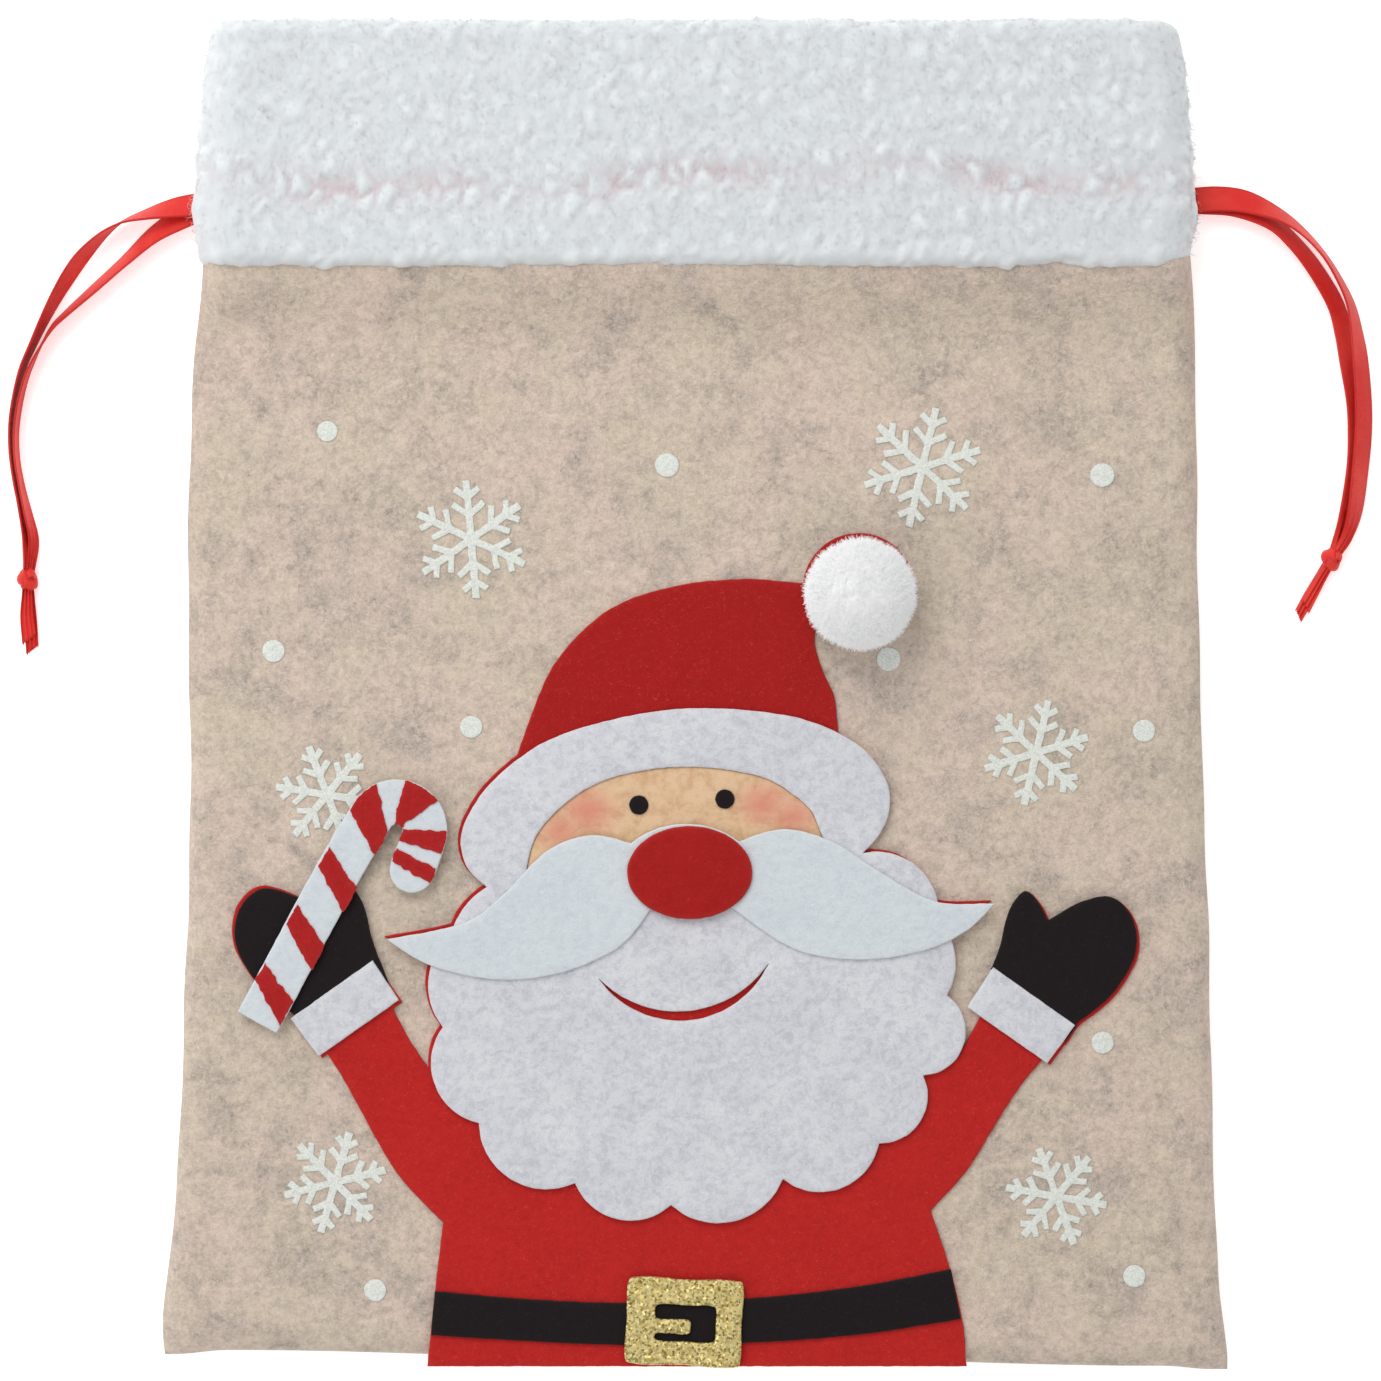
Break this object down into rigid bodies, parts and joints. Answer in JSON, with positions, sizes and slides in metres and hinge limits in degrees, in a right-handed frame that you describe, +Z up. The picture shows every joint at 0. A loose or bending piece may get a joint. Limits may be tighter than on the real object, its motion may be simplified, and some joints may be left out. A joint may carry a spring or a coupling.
{
  "type": "fabric gift sack",
  "caption": "Flat felt gift sack with a fleece cuff at its mouth, a ribbon drawstring pulled from each side and an applique figure on its front.",
  "frame": {"origin": "on the surface the sack lies on, at the middle of its width and of its length from the figure's foot to the top of the cuff", "axes": "+Y along the sack towards its mouth, +Z up out of the decorated front, +X to the right as the front is seen with the mouth at the top"},
  "size_m": [0.3466, 0.336, 0.034],
  "materials": {
    "felt_body": "mottled oatmeal felt",
    "fleece": "curly white fleece",
    "thread": "sewing thread",
    "ribbon": "red satin",
    "felt_red": "red felt",
    "felt_white": "white felt, slightly mottled",
    "felt_bright": "bright white felt",
    "felt_skin": "peach felt",
    "felt_black": "black felt",
    "glitter": "gold glitter felt",
    "pompom": "white fluff",
    "snow": "white glitter film"
  },
  "bodies": {
    "root": {"front_panel": "felt_body", "back_panel": "felt_body", "seam_thread_left": "thread", "seam_thread_right": "thread", "seam_thread_bottom": "thread", "cuff_back": "fleece", "cuff_side_left": "fleece", "cuff_side_right": "fleece", "cuff_seam_back": "thread", "channel_stitching_back": "thread", "figure_backing": "felt_red", "face": "felt_skin", "eye_left": "felt_black", "eye_right": "felt_black", "beard_and_brim": "felt_white", "moustache": "felt_bright", "nose": "felt_red", "sleeve_cuff_left": "felt_white", "sleeve_cuff_right": "felt_white", "mitten_left": "felt_black", "mitten_right": "felt_black", "candy_cane": "felt_bright", "cane_stripes": "felt_red", "belt": "felt_black", "buckle": "glitter", "pom_pom": "pompom", "snowflake_1": "snow", "snowflake_2": "snow", "snowflake_3": "snow", "snowflake_4": "snow", "snowflake_5": "snow", "snowflake_6": "snow", "snow_dots": "snow"},
    "mouth_front": {"front_panel_top": "felt_body", "cuff_front": "fleece", "cuff_seam_front": "thread", "channel_stitching_front": "thread", "ribbon_left_front_run": "ribbon", "ribbon_right_front_run": "ribbon"},
    "ribbon_left": {"ribbon_left_run": "ribbon", "ribbon_left_second_run": "ribbon", "ribbon_left_upper": "ribbon", "ribbon_left_lower": "ribbon", "knot_left": "ribbon"},
    "ribbon_right": {"ribbon_right_run": "ribbon", "ribbon_right_second_run": "ribbon", "ribbon_right_upper": "ribbon", "ribbon_right_lower": "ribbon", "knot_right": "ribbon"}
  },
  "joints": [
    {"name": "mouth_open", "type": "hinge", "parent": "root", "child": "mouth_front", "pos_m": [0, 0.084, 0.01], "axis": [1, 0, 0], "range_deg": [0, 25]},
    {"name": "ribbon_left_pull", "type": "slide", "parent": "root", "child": "ribbon_left", "axis": [-1, 0, 0], "range_m": [0, 0.04]},
    {"name": "ribbon_right_pull", "type": "slide", "parent": "root", "child": "ribbon_right", "axis": [1, 0, 0], "range_m": [0, 0.04]}
  ]
}
